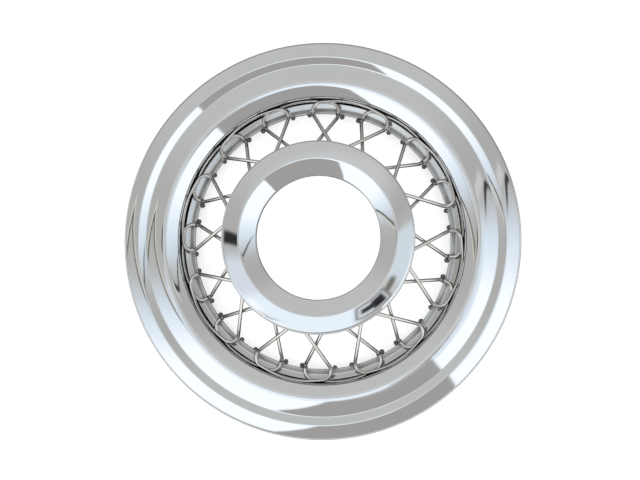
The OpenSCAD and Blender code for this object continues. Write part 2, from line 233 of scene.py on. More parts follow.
class CoverSettings(PropertyGroup):
    """Everything about the cover."""

    trim: PointerProperty(type=TrimSizes)
    bed: PointerProperty(type=BedSizes)
    wire: PointerProperty(type=WireSizes)
    hub: PointerProperty(type=HubSizes)
    finish: PointerProperty(type=FinishSettings)
    stage: PointerProperty(type=StageSettings)


# Outlines, in the plane of radius and height


def unit(v):
    """A vector, or rows of vectors, brought to length one."""
    v = np.asarray(v, float)
    return v / np.linalg.norm(v, axis=-1, keepdims=True)


def left(v):
    """A flat vector turned a quarter to its left."""
    return np.stack([-v[..., 1], v[..., 0]], -1)


def arc(before, corner, after, radius):
    """Points on the arc that is tangent to both straights of a corner: centre + radius (cos, sin)."""
    u, v = unit(corner - before), unit(after - corner)
    angle = math.acos(max(-1.0, min(1.0, float(u @ v))))
    way = math.copysign(1.0, u[0] * v[1] - u[1] * v[0])
    start = corner - u * radius * math.tan(angle / 2)
    centre = start + left(u) * way * radius
    first = math.atan2(*(start - centre)[::-1])
    turn = first + way * angle * np.linspace(0, 1, max(3, math.ceil(angle / ARC_STEP) + 1))
    return centre + radius * np.stack([np.cos(turn), np.sin(turn)], -1)


def outline(corners, crown=0.0):
    """Outline through corners (r, z, radius), with each straight sampled close to both of its ends.

    A straight stands out by crown min(1, its length / CROWN_SPAN)^2 4 t (1 - t), t from 0 to 1 along it."""
    runs = []
    for i, (r, z, *more) in enumerate(corners):
        here = np.array([r, z])
        if more:
            before, after = np.array(corners[i - 1][:2]), np.array(corners[i + 1][:2])
            runs.append(arc(before, here, after, more[0]))
        else:
            runs.append(here[None])
    points = [runs[0]]
    for before, after in zip(runs, runs[1:]):
        a, b = before[-1], after[0]
        far = np.linalg.norm(b - a)
        if far > 3 * GUARD:
            count = max(2, round(far / (CROWN_STEP if crown else FLAT_STEP)) + 1)
            t = np.concatenate([[GUARD / far], np.linspace(0, 1, count)[1:-1], [1 - GUARD / far]])[:, None]
            rise = crown * min(1.0, far / CROWN_SPAN) ** 2 * 4 * t * (1 - t)
            points.append(a + t * (b - a) - rise * left(unit(b - a)))
        points.append(after)
    return np.concatenate(points)


def beside(path, gap):
    """The outline moved to its left by gap: each point moves along the mitre of its two straights."""
    way = unit(np.diff(path, axis=0))
    before = left(np.concatenate([way[:1], way]))
    after = left(np.concatenate([way, way[-1:]]))
    middle = unit(before + after)
    return path + middle * gap / np.sum(middle * before, -1, keepdims=True)


def sheet_section(corners, thickness, crown=0.0):
    """Closed section of a sheet whose face follows the corners.

    The metal lies to the left of the walk, or to its right where the thickness is negative."""
    face = outline(corners, crown)
    section = np.concatenate([face, beside(face, thickness)[::-1]])
    return section if thickness > 0 else section[::-1]


# Meshes


def add_mesh(name, places, faces, material, body=BODY):
    """A smooth-shaded object at the origin, riding on a body, with its place in its mesh."""
    mesh = bpy.data.meshes.new(name)
    mesh.from_pydata(places.reshape(-1, 3), [], faces)
    mesh.validate()
    mesh.shade_smooth()
    mesh.materials.append(material)
    piece = bpy.data.objects.new(name, mesh)
    bpy.context.scene.collection.objects.link(piece)
    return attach(piece, body)


def grid_faces(rows, columns, wrap_rows, wrap_columns):
    """Quads of a grid of rows by columns points, numbered row by row."""
    i = np.arange(rows if wrap_rows else rows - 1)[:, None]
    j = np.arange(columns if wrap_columns else columns - 1)[None]
    ii, jj = (i + 1) % rows, (j + 1) % columns
    quads = [i * columns + j, ii * columns + j, ii * columns + jj, i * columns + jj]
    return np.stack(np.broadcast_arrays(*quads), -1).reshape(-1, 4)


def revolved(section, turns=448):
    """Places and faces of the section (r, z) carried round +Z: (r sin a, r cos a, z), clockwise from +Y."""
    a = np.linspace(0, 2 * math.pi, turns, endpoint=False)
    r, z = section[:, :1], section[:, 1:]
    places = np.stack([r * np.sin(a), r * np.cos(a), np.broadcast_to(z, (len(section), turns))], -1)
    return places, grid_faces(len(section), turns, True, True)


def turned(places, angle):
    """Places turned clockwise about +Z, as seen from the front."""
    c, s = math.cos(angle), math.sin(angle)
    x, y, z = places[..., 0], places[..., 1], places[..., 2]
    return np.stack([c * x + s * y, c * y - s * x, z], -1)


def bent_path(corners, radii, straight=3 * MM, step=math.radians(5)):
    """Points and directions along a wire bent at its corners: straights joined by tangent arcs.

    An arc at a corner, with unit directions u and v before and after it, is
    centre - radius (cos t w - sin t u), where w points from the arc's start to its centre."""
    places, ways = [corners[0][None]], [unit(corners[1] - corners[0])[None]]
    for before, here, after, radius in zip(corners, corners[1:], corners[2:], radii):
        u, v = unit(here - before), unit(after - here)
        angle = math.acos(float(np.clip(u @ v, -1, 1)))
        w = unit(v - u * (u @ v))
        start = here - u * radius * math.tan(angle / 2)
        t = np.linspace(0, angle, max(4, math.ceil(angle / step) + 1))[:, None]
        places.append(start + radius * (np.sin(t) * u + (1 - np.cos(t)) * w))
        ways.append(np.cos(t) * u + np.sin(t) * w)
    places.append(corners[-1][None])
    ways.append(unit(corners[-1] - corners[-2])[None])
    full, heading = [places[0]], [ways[0]]
    for a, b, way in zip(places, places[1:], ways[1:]):
        far = np.linalg.norm(b[0] - a[-1])
        t = np.linspace(0, 1, max(2, round(far / straight) + 1))[1:-1, None]
        full += [a[-1] + t * (b[0] - a[-1]), b]
        heading += [np.broadcast_to(way[0], (len(t), 3)), way]
    return np.concatenate(full), np.concatenate(heading)


def tube(path, ways, radius, sides=20):
    """A round tube on a path: path + radius (cos t n + sin t m).

    The vector n is level and across the path, and m is square to both. The ends are closed by a ring
    of no width. The radius may change along the path."""
    n = unit(np.cross(ways, [0.0, 0.0, 1.0]))
    m = np.cross(n, ways)
    ring = np.linspace(0, 2 * math.pi, sides, endpoint=False)[None, :, None]
    radius = np.broadcast_to(radius, len(path))[:, None, None]
    places = path[:, None] + radius * (np.cos(ring) * n[:, None] + np.sin(ring) * m[:, None])
    ends = [np.broadcast_to(path[k], (1, sides, 3)) for k in (0, -1)]
    places = np.concatenate([ends[0], places, ends[1]])
    return places, grid_faces(len(places), sides, False, True)[:, ::-1]


def joined(parts):
    """Several (places, faces) made one."""
    places, faces, count = [], [], 0
    for p, f in parts:
        p = p.reshape(-1, 3)
        places.append(p)
        faces.append(np.asarray(f) + count)
        count += len(p)
    return np.concatenate(places), np.concatenate(faces)


# Forms of the cover


def trim_corners(trim):
    """Corners of the trim ring's face, from the outer hem over the bands to the hem behind the lip."""
    cover_r = trim.cover_d / 2
    crest_r = cover_r - trim.outer_band_w
    step_r = crest_r - trim.step_w
    inner_r = step_r - trim.inner_band_w
    lip_r = inner_r - trim.wall_w
    edge_z, band_z = trim.rim_height - trim.edge_h / 2, trim.rim_height + trim.edge_h / 2
    crest_z = band_z + trim.outer_band_w * math.tan(trim.outer_band_slope)
    step_z = crest_z - trim.step_w * math.tan(trim.step_slope)
    inner_z = step_z + trim.inner_band_w * math.tan(trim.inner_band_slope)
    wall_z = inner_z - trim.wall_w * math.tan(trim.wall_slope)
    lip_z = wall_z - trim.lip_h
    return [
        (cover_r - trim.hem_w, edge_z),
        (cover_r, edge_z, trim.edge_round),
        (cover_r, band_z, trim.edge_blend),
        (crest_r, crest_z, trim.outer_crest_round),
        (step_r, step_z, trim.step_round),
        (inner_r, inner_z, trim.inner_crest_round),
        (lip_r, wall_z, trim.lip_round),
        (lip_r, lip_z, trim.fold * trim.sheet_t),
        (lip_r + trim.lip_hem_w, lip_z),
    ]


class Layout:
    """Levels and radii that the bed, the wires and the hub share."""

    def __init__(self, cover):
        trim, bed, wire, hub = cover.trim, cover.bed, cover.wire, cover.hub
        corners = trim_corners(trim)
        self.lip_r, self.wall_z = corners[6][:2]
        lip_z = corners[7][1]
        self.wire_r = wire.wire_d / 2
        self.seat_r = self.wire_r + wire.seat_gap
        self.front_z = lip_z - wire.seat_gap - self.wire_r
        layer_z = (wire.wire_d + wire.cross_gap) / math.cos(wire.rear_tilt) + wire.layer_gap
        self.rear_z = self.front_z - layer_z
        self.apex_r = self.lip_r + wire.tuck - self.wire_r
        self.bed_r = self.lip_r - bed.bed_w
        self.valley_r = self.bed_r + bed.fall_w
        self.crest_r = self.valley_r + bed.rise_w
        under = (self.wire_r + 2 * wire.seat_gap) / math.cos(wire.rear_tilt)
        self.crest_z = self.rear_z + (self.apex_r - self.crest_r) * math.tan(wire.rear_tilt) - under
        self.valley_z = self.crest_z - bed.rise_w * math.tan(bed.rise_slope)
        self.bed_z = self.valley_z + bed.fall_w * math.tan(bed.fall_slope)
        self.trough_r = self.crest_r + bed.drop_h / math.tan(DROP_SLOPE)
        self.trough_z = self.crest_z - bed.drop_h
        self.riser_r = self.lip_r + trim.lip_hem_w + bed.riser_gap
        self.foot_z = trim.rim_height + hub.hub_rise - hub.edge_h
        self.eyelet_r = (self.bed_r - wire.front_reach, self.bed_r - wire.rear_reach)
        run = self.eyelet_r[0] - hub.hub_d / 2 + trim.sheet_t + wire.wire_d
        leg_slope = math.atan2(self.foot_z - self.front_z, run)
        foot_r = hub.hub_d / 2 - trim.sheet_t - (self.wire_r + 2 * wire.seat_gap) / math.sin(leg_slope)
        outer_run = self.eyelet_r[0] * math.sin(wire.eyelet_angle)
        crossing = outer_run / (outer_run + foot_r * math.sin(wire.hub_angle))
        clear = (wire.wire_d + wire.cross_gap) / math.sin(leg_slope)
        behind = (clear - (wire.rear_reach - wire.front_reach) * (1 - crossing)) / crossing
        self.foot_r = (foot_r, foot_r - behind)
        self.end_turn = PITCH / 2 + wire.eyelet_angle
        self.hub_turn = PITCH / 2 - wire.hub_angle
        self.tail_r = self.apex_r - wire.wire_d
        self.wire = wire

    def back_of_wall(self, r, trim):
        """Height of the back of the trim ring's inner wall at a radius."""
        face_z = self.wall_z + (r - self.lip_r) * math.tan(trim.wall_slope)
        return face_z - trim.sheet_t / math.cos(trim.wall_slope)

    def half(self, rear):
        """Corners of half a hairpin whose middle lies on +Y: foot end, foot, eyelet, tail and arc.

        The turn from the tail to the arc and the height of the corner over the arc depend on each
        other, so each is worked out from the other until they settle."""
        wire = self.wire
        tilt, apex_z = (wire.rear_tilt, self.rear_z) if rear else (wire.front_tilt, self.front_z)
        x, y = self.tail_r * math.sin(self.end_turn), self.tail_r * math.cos(self.end_turn)
        over = 0.0
        for _ in range(8):
            turn = math.atan2((self.apex_r - y) / math.cos(tilt) + over, x)
            over = wire.arc_round * (1 / math.cos(turn) - 1)

        def sloped(x, y):
            return np.array([x, y, apex_z + (self.apex_r - y) * math.tan(tilt)])

        def level(r):
            return np.array([r * math.sin(self.hub_turn), r * math.cos(self.hub_turn), self.foot_z])

        foot_r, eyelet_r = self.foot_r[rear], self.eyelet_r[rear]
        return [
            level(foot_r - wire.foot_round - wire.foot_l),
            level(foot_r),
            sloped(eyelet_r * math.sin(self.end_turn), eyelet_r * math.cos(self.end_turn)),
            sloped(x, y),
            sloped(0.0, self.apex_r + over * math.cos(tilt)),
        ]


def hairpin(layout, rear):
    """Path of a whole hairpin: its right half, then the same corners mirrored in x."""
    wire = layout.wire
    half = layout.half(rear)
    corners = half + [p * [-1, 1, 1] for p in half[3::-1]]
    radii = [wire.foot_round, wire.eyelet_round, wire.tail_round]
    return bent_path(corners, radii + [wire.arc_round] + radii[::-1])


def hairpin_turn(i, rear):
    """Angle from +Y to the middle of a hairpin: the rear ones stand one crossing after the front ones."""
    return (2 * i + 1) * PITCH + (PITCH / 2 if rear else -PITCH / 2)


def barrel(start, end, inner, outer, points=12, sides=20):
    """A sleeve between two points: a rounded ring section, swept round the line between them."""
    axis = end - start
    far = np.linalg.norm(axis)
    axis = axis / far
    n = unit(np.cross(axis, [0.0, 0.0, 1.0]))
    m = np.cross(n, axis)
    wall = (outer - inner) / 2
    t = np.linspace(0, 2 * math.pi, points, endpoint=False)
    along = np.where(np.cos(t) > 0, far - wall, wall) + wall * np.cos(t)
    across = inner + wall + wall * np.sin(t)
    ring = np.linspace(0, 2 * math.pi, sides, endpoint=False)[None, :, None]
    spread = np.cos(ring) * n + np.sin(ring) * m
    places = start + along[:, None, None] * axis + across[:, None, None] * spread
    return places, grid_faces(points, sides, True, True)


def bulb(centre, axes, rows=9, sides=14):
    """An ellipsoid: centre + sin(u) cos(v) a + sin(u) sin(v) b + cos(u) c."""
    u = np.linspace(0, math.pi, rows)[:, None, None]
    v = np.linspace(0, 2 * math.pi, sides, endpoint=False)[None, :, None]
    a, b, c = axes
    places = centre + np.sin(u) * np.cos(v) * a + np.sin(u) * np.sin(v) * b + np.cos(u) * c
    return places, grid_faces(rows, sides, False, True)


def curl(centre, across, outward, reach, thick, turns=1.35, shrink=0.72, taper=0.3, rise=0.9 * MM):
    """The rolled end of a tab: a tube on the spiral centre + rho (cos a outward + sin a across) + rise t.

    As t goes from 0 to 1, the angle a grows to the given turns, the radius rho shrinks evenly from the
    reach, and the tube tapers."""
    t = np.linspace(0, 1, 28)
    angle = 2 * math.pi * turns * t
    rho = reach * (1 - shrink * t)
    spread = np.cos(angle)[:, None] * outward + np.sin(angle)[:, None] * across
    path = centre + rho[:, None] * spread + (rise * t)[:, None] * [0.0, 0.0, 1.0]
    ways = unit(np.gradient(path, axis=0))
    return tube(path, ways, thick * (1 - taper * t), 10)


def eyelet(layout, bed, half, flip):
    """An eyelet: a short sleeve on the wire, a curled tab, a tongue along the tail and a saddle on the bed.

    The tongue is a tube on the straight first + t (last - first), which thins with t squared."""
    way = -1 if flip else 1
    half = [p * [way, 1, 1] for p in half]
    corner = half[2]
    u, v = unit(half[3] - corner), unit(half[1] - corner)
    turn = math.pi - math.acos(float(np.clip(u @ v, -1, 1)))
    start = corner + u * layout.wire.eyelet_round * math.tan(turn / 2)
    corner_r = math.hypot(*corner[:2])
    end = corner + u * (layout.valley_r - corner_r) / math.hypot(*u[:2])
    outward = unit(corner * [1, 1, 0])
    aside = np.array([outward[1], -outward[0], 0.0]) * way
    up = np.array([0.0, 0.0, 1.0])

    sleeve_end = start + (end - start) * bed.sleeve_share
    sleeve = barrel(start, sleeve_end, layout.seat_r, layout.seat_r + bed.eyelet_wall)

    knuckle_r = bed.knuckle_d / 2
    knuckle_at = max(corner_r, layout.bed_r - bed.knuckle_in * knuckle_r)
    centre = outward * knuckle_at + aside * (knuckle_r + layout.wire_r / 3) + up * layout.bed_z
    tab = curl(centre, aside, outward, knuckle_r - bed.tab_t, bed.tab_t)

    # The tongue starts inside the knuckle and lies beside the wire, lower than its middle
    beside_wire = aside * (layout.wire_r + bed.tongue_t / 3) - up * layout.wire_r * 0.6
    first = centre + outward * knuckle_r * 0.6
    last = start + (end - start) * bed.tongue_share + beside_wire
    t = np.linspace(0, 1, 8)[:, None]
    path = first + t * (last - first)
    width = bed.tongue_t * (1 - bed.tongue_taper * t[:, 0] ** 2)
    tongue = tube(path, unit(np.gradient(path, axis=0)), width, 10)

    depth = end[2] - layout.valley_z
    foot = outward * (layout.valley_r - bed.saddle_in) + up * (layout.valley_z + 0.4 * depth)
    saddle = bulb(foot, (aside * layout.wire_r * 0.8, outward * bed.saddle_l, up * depth / 2))
    return joined([sleeve, tab, tongue, saddle])


# Materials


class Maths:
    """A socket in an expression: + - * and ** between sockets and numbers add Math nodes."""

    def __init__(self, shader, socket):
        self.shader, self.socket = shader, socket

    def _with(self, operation, *values):
        return self.shader.node("ShaderNodeMath", {"operation": operation}, *values)

    def __add__(self, other):
        return self._with("ADD", self, other)

    def __sub__(self, other):
        return self._with("SUBTRACT", self, other)

    def __rsub__(self, other):
        return self._with("SUBTRACT", other, self)

    def __mul__(self, other):
        return self._with("MULTIPLY", self, other)

    def __pow__(self, other):
        return self._with("POWER", self, other)

    def __rpow__(self, other):
        return self._with("POWER", other, self)

    __radd__, __rmul__ = __add__, __mul__


class Shader:
    """Builds a node tree from expressions."""

    def __init__(self, tree):
        self.tree = tree
        tree.nodes.clear()

    def node(self, kind, settings=None, *values, output=0, **named):
        """Any node: its settings are set first, then its sockets by place or by name."""
        made = self.tree.nodes.new(kind)
        for key, value in (settings or {}).items():
            setattr(made, key, value)
        sockets = list(enumerate(values)) + [(k.replace("_", " "), v) for k, v in named.items()]
        for key, value in sockets:
            if isinstance(value, Maths):
                self.tree.links.new(value.socket, made.inputs[key])
            elif value is not None:
                made.inputs[key].default_value = value
        return Maths(self, made.outputs[output]) if len(made.outputs) else made

    def split(self, vector):
        """The three parts of a vector."""
        made = self.node("ShaderNodeSeparateXYZ", None, vector).socket.node
        return [Maths(self, made.outputs[k]) for k in range(3)]

    def window(self, value, low, high, soft):
        """1 between low and high and 0 outside, smooth over soft to each side of both."""
        return self.ramp(value, low - soft, low + soft) * self.ramp(value, high + soft, high - soft)

    def ramp(self, value, zero, one):
        """0 at the first value and 1 at the second, smooth between them."""
        smooth = {"interpolation_type": "SMOOTHSTEP", "clamp": True}
        low, high = min(zero, one), max(zero, one)
        ends = (0.0, 1.0) if zero < one else (1.0, 0.0)
        return self.node("ShaderNodeMapRange", smooth, value, float(low), float(high), *ends)

    def mix(self, factor, first, second, label=""):
        """A colour between two others."""
        made = self.node("ShaderNodeMix", {"data_type": "RGBA", "label": label}).socket.node
        for index, value in ((0, factor), (6, first), (7, second)):
            if isinstance(value, Maths):
                self.tree.links.new(value.socket, made.inputs[index])
            else:
                made.inputs[index].default_value = (*value, 1.0)
        return Maths(self, made.outputs[2])

    def noise(self, vector, scale, detail=2.0, roughness=0.5):
        """Noise from 0 to 1 at a point."""
        kind = "ShaderNodeTexNoise"
        return self.node(kind, None, Vector=vector, Scale=scale, Detail=detail, Roughness=roughness)

    def bump(self, height, distance, normal=None):
        """A normal bent by a height."""
        kind = "ShaderNodeBump"
        return self.node(kind, None, Strength=1.0, Distance=distance, Height=height, Normal=normal)


class Zone:
    """A zone of a metal between two radii or two heights, with a tone and a gloss of its own."""

    def __init__(self, axis, low, high, soft, share, dull, tone=SHADED):
        self.axis, self.low, self.high, self.soft = axis, low, high, soft
        self.share, self.dull, self.tone = share, dull, tone


def metal(name, colour, roughness, wave, lines, grime, zones=()):
    """A metal whose polishing lines run round the axis.

    The roughness and the colour change a little with broad and fine noise, a broad bump makes the
    reflections of the stamped sheet waver, and fine rings on the radius stand for polishing lines.
    Each zone moves the tone to its own and adds roughness where its window of the radius or height is 1."""
    material = bpy.data.materials.new(name)
    material.use_nodes = True
    s = Shader(material.node_tree)
    place = s.node("ShaderNodeTexCoord", None, output=3)
    x, y, z = s.split(place)
    radius = (x * x + y * y) ** 0.5
    rings = s.node("ShaderNodeCombineXYZ", None, radius * LINE_RATE, z * LINE_RATE, 0.0)
    ring = s.noise(rings, 1.0, detail=3.0, roughness=0.6)
    broad = s.noise(place, BROAD_RATE)
    fine = s.noise(place, FINE_RATE, detail=3.0, roughness=0.6)
    grimy = tuple(c * (1 - grime) for c in colour)
    tone = s.mix(broad * 0.6 + fine * 0.4, grimy, tuple(colour))
    gloss = roughness * 0.7 + fine * (roughness * 0.35) + broad * (roughness * 0.25)
    for zone in zones:
        mask = s.window(z if zone.axis == "height" else radius, zone.low, zone.high, zone.soft)
        tone = s.mix(mask * zone.share, tone, zone.tone)
        gloss = gloss + mask * zone.dull
    normal = s.bump(ring, lines, s.bump(broad, wave))
    surface = s.node(
        "ShaderNodeBsdfPrincipled", None, Base_Color=tone, Metallic=1.0, Roughness=gloss, Normal=normal
    )
    s.node("ShaderNodeOutputMaterial", None, Surface=surface)
    return material


def polished_sheet(cover):
    """Mirror-polished sheet of the trim and hub rings, with painted shade in the roll of the lip."""
    f, layout = cover.finish, Layout(cover)
    outside_hub = cover.hub.hub_d / 2 + 10 * MM
    # Painted shade: from just outside the hub to just past the lip's radius, which takes in the roll of the
    # lip, the tone leans to the shaded tone
    lip = Zone("radius", outside_hub, layout.lip_r + 1.0 * MM, soft=1.0 * MM, share=0.3, dull=0.05)
    return metal(
        "polished_sheet",
        f.sheet_colour,
        f.sheet_gloss,
        wave=0.14 * MM,
        lines=0.0006 * MM,
        grime=0.05,
        zones=[lip],
    )


def bed_sheet(cover):
    """Sheet of the spoke bed: satin on its inner facet, with painted shade on the eyelets and in the
    trough.
    """
    f, layout = cover.finish, Layout(cover)
    inside, outside = layout.foot_r[0], cover.trim.cover_d / 2
    satin_r = layout.bed_r + 0.4 * MM
    # Painted shade on the curled tabs and on everything else inside the bed's inner edge
    tab_shade = Zone("radius", inside, layout.bed_r + 0.2 * MM, soft=0.3 * MM, share=0.5, dull=0.1)
    # Painted shade on the eyelets' sleeves and on all of the bed that stands above its inner edge
    sleeve_shade = Zone("height", layout.bed_z + 0.9 * MM, layout.foot_z, soft=0.3 * MM, share=0.62, dull=0.1)
    satin = Zone(
        "radius", satin_r, layout.valley_r, soft=0.3 * MM, share=0.8, dull=0.38, tone=f.satin_colour
    )
    # Painted shade in the trough under the lip and on the riser and flange behind it
    trough = Zone("radius", layout.crest_r + 0.8 * MM, outside, soft=0.5 * MM, share=0.75, dull=0.2)
    return metal(
        "bed_sheet",
        f.bed_colour,
        f.bed_gloss,
        wave=0.1 * MM,
        lines=0.001 * MM,
        grime=0.12,
        zones=[tab_shade, sleeve_shade, satin, trough],
    )


def spoke_wire(cover):
    """Bright drawn wire."""
    f = cover.finish
    return metal("spoke_wire", f.wire_colour, f.wire_gloss, wave=0.04 * MM, lines=0.001 * MM, grime=0.16)


def plain_steel(cover):
    """Turned steel of the backing ring."""
    f = cover.finish
    return metal("plain_steel", f.dull_colour, f.dull_gloss, wave=0.1 * MM, lines=0.002 * MM, grime=0.25)


def spring_steel(cover):
    """Rolled steel of the retention ring."""
    f = cover.finish
    return metal("spring_steel", f.dull_colour, f.dull_gloss, wave=0.1 * MM, lines=0.002 * MM, grime=0.30)


METALS = {
    "polished_sheet": polished_sheet,
    "bed_sheet": bed_sheet,
    "spoke_wire": spoke_wire,
    "plain_steel": plain_steel,
    "spring_steel": spring_steel,
}
MADE = {}


def finish(cover, slot):
    """The material of a slot, made once."""
    if slot not in MADE:
        MADE[slot] = METALS[slot](cover)
    return MADE[slot]


# Operators


class CoverOperator:
    """What the cover's operators share."""

    bl_options = {"REGISTER", "UNDO"}

    @staticmethod
    def build(cover):
        """Adds the pieces."""

    def execute(self, context):
        """Adds the pieces of this operator."""
        self.build(context.scene.wire_cover)
        return {"FINISHED"}


class COVER_OT_trim_ring(CoverOperator, Operator):
    """Adds the polished trim ring with its two bands and rolled edges."""

    bl_idname = "cover.trim_ring"
    bl_label = "Trim Ring"

    @staticmethod
    def build(cover):
        """Revolves the trim ring's section."""
        section = sheet_section(trim_corners(cover.trim), cover.trim.sheet_t, cover.trim.crown)
        places, faces = revolved(section)
        piece = add_mesh("trim_ring_sheet", places, faces, finish(cover, "polished_sheet"))
        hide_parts("trim_ring")


class COVER_OT_spoke_bed(CoverOperator, Operator):
    """Adds the spoke bed with its formed eyelets."""

    bl_idname = "cover.spoke_bed"
    bl_label = "Spoke Bed"

    @staticmethod
    def build(cover):
        """Revolves the bed's section and sets the eyelets on it."""
        trim, bed = cover.trim, cover.bed
        layout = Layout(cover)
        fold = trim.fold * trim.sheet_t
        flange_r = layout.riser_r + bed.flange_w * math.cos(trim.wall_slope)
        corners = [
            (layout.bed_r, layout.bed_z - bed.bed_edge_h),
            (layout.bed_r, layout.bed_z, fold),
            (layout.valley_r, layout.valley_z, bed.valley_round),
            (layout.crest_r, layout.crest_z, fold),
            (layout.trough_r, layout.trough_z, bed.trough_round),
            (layout.riser_r, layout.trough_z, bed.riser_round),
            (layout.riser_r, layout.back_of_wall(layout.riser_r, trim), fold),
            (flange_r, layout.back_of_wall(flange_r, trim)),
        ]
        parts = [revolved(sheet_section(corners, -trim.sheet_t), 384)]
        for rear in (False, True):
            half = layout.half(rear)
            places, faces = joined([eyelet(layout, bed, half, flip) for flip in (False, True)])
            parts += [(turned(places, hairpin_turn(i, rear)), faces) for i in range(PAIRS)]
        places, faces = joined(parts)
        piece = add_mesh("spoke_bed_sheet", places, faces, finish(cover, "bed_sheet"))
        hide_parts("spoke_bed")


class COVER_OT_spoke_wires(CoverOperator, Operator):
    """Adds the hairpin spoke wires, eight in front and eight behind."""

    bl_idname = "cover.spoke_wires"
    bl_label = "Spoke Wires"

    @staticmethod
    def build(cover):
        """Sweeps a hairpin for each layer and turns a copy to each of its places."""
        layout = Layout(cover)
        for rear, layer in ((False, "front"), (True, "rear")):
            path, ways = hairpin(layout, rear)
            places, faces = tube(path, ways, cover.wire.drawn_d / 2)
            for i in range(PAIRS):
                here = turned(places, hairpin_turn(i, rear))
                name = f"{layer}_spoke_wire_{i + 1}"
                piece = add_mesh(f"{layer}_wire_{i + 1}", here, faces, finish(cover, "spoke_wire"))
                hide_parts(name)


class COVER_OT_hub_ring(CoverOperator, Operator):
    """Adds the raised hub ring."""

    bl_idname = "cover.hub_ring"
    bl_label = "Hub Ring"

    @staticmethod
    def build(cover):
        """Revolves the hub ring's section."""
        trim, hub = cover.trim, cover.hub
        hub_r, crest_r, bore_r = hub.hub_d / 2, hub.crest_d / 2, hub.bore_d / 2
        hub_z = trim.rim_height + hub.hub_rise
        crest_z = hub_z + (hub_r - crest_r) * math.tan(hub.hub_slope)
        dish_z = crest_z - (crest_r - bore_r) * math.tan(hub.dish_slope)
        hem_z = dish_z - hub.bore_wall_h
        corners = [
            (hub_r, hub_z - hub.edge_h),
            (hub_r, hub_z, hub.outer_round),
            (crest_r, crest_z, hub.crest_round),
            (bore_r, dish_z, hub.bore_round),
            (bore_r, hem_z, trim.fold * trim.sheet_t),
            (bore_r + hub.hem_w, hem_z),
        ]
        places, faces = revolved(sheet_section(corners, trim.sheet_t, hub.crown))
        piece = add_mesh("hub_ring_sheet", places, faces, finish(cover, "polished_sheet"))
        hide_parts("hub_ring")


class COVER_OT_steel_rings(CoverOperator, Operator):
    """Gives the backing ring and the retention ring their steel."""

    bl_idname = "cover.steel_rings"
    bl_label = "Backing and Retention Rings"

    @staticmethod
    def build(cover):
        """Puts the plain steels on the two solids."""
        for node, slot in (("hub_backing_ring", "plain_steel"), ("retention_ring", "spring_steel")):
            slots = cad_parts[node].data.materials
            slots.clear()
            slots.append(finish(cover, slot))


class COVER_OT_stage(CoverOperator, Operator):
    """Adds the floor, the light and the camera."""

    bl_idname = "cover.stage"
    bl_label = "Stage"

    @staticmethod
    def build(cover):
        """Sets up the pale floor, the light tent and the camera."""
        add_floor(cover.stage)
        add_light_tent(cover.stage)
        add_camera(cover)


def add_floor(stage):
    """A plain pale floor under the cover, which the metal doesn't mirror."""
    half = stage.floor_size / 2
    corners = [(-half, -half, 0), (half, -half, 0), (half, half, 0), (-half, half, 0)]
    mesh = bpy.data.meshes.new("floor")
    mesh.from_pydata(corners, [], [(0, 1, 2, 3)])
    floor = bpy.data.objects.new("floor", mesh)
    bpy.context.scene.collection.objects.link(floor)
    material = bpy.data.materials.new("floor")
    material.use_nodes = True
    s = Shader(material.node_tree)
    place = s.node("ShaderNodeTexCoord", None, output=3)
    tone = s.mix(s.noise(place, 3.0), tuple(stage.floor_low), tuple(stage.floor_high))
    surface = s.node(
        "ShaderNodeBsdfPrincipled",
        None,
        Base_Color=tone,
        Roughness=stage.floor_gloss,
        Emission_Color=tone,
        Emission_Strength=stage.floor_glow,
    )
    s.node("ShaderNodeOutputMaterial", None, Surface=surface)
    mesh.materials.append(material)
    floor.visible_glossy = False


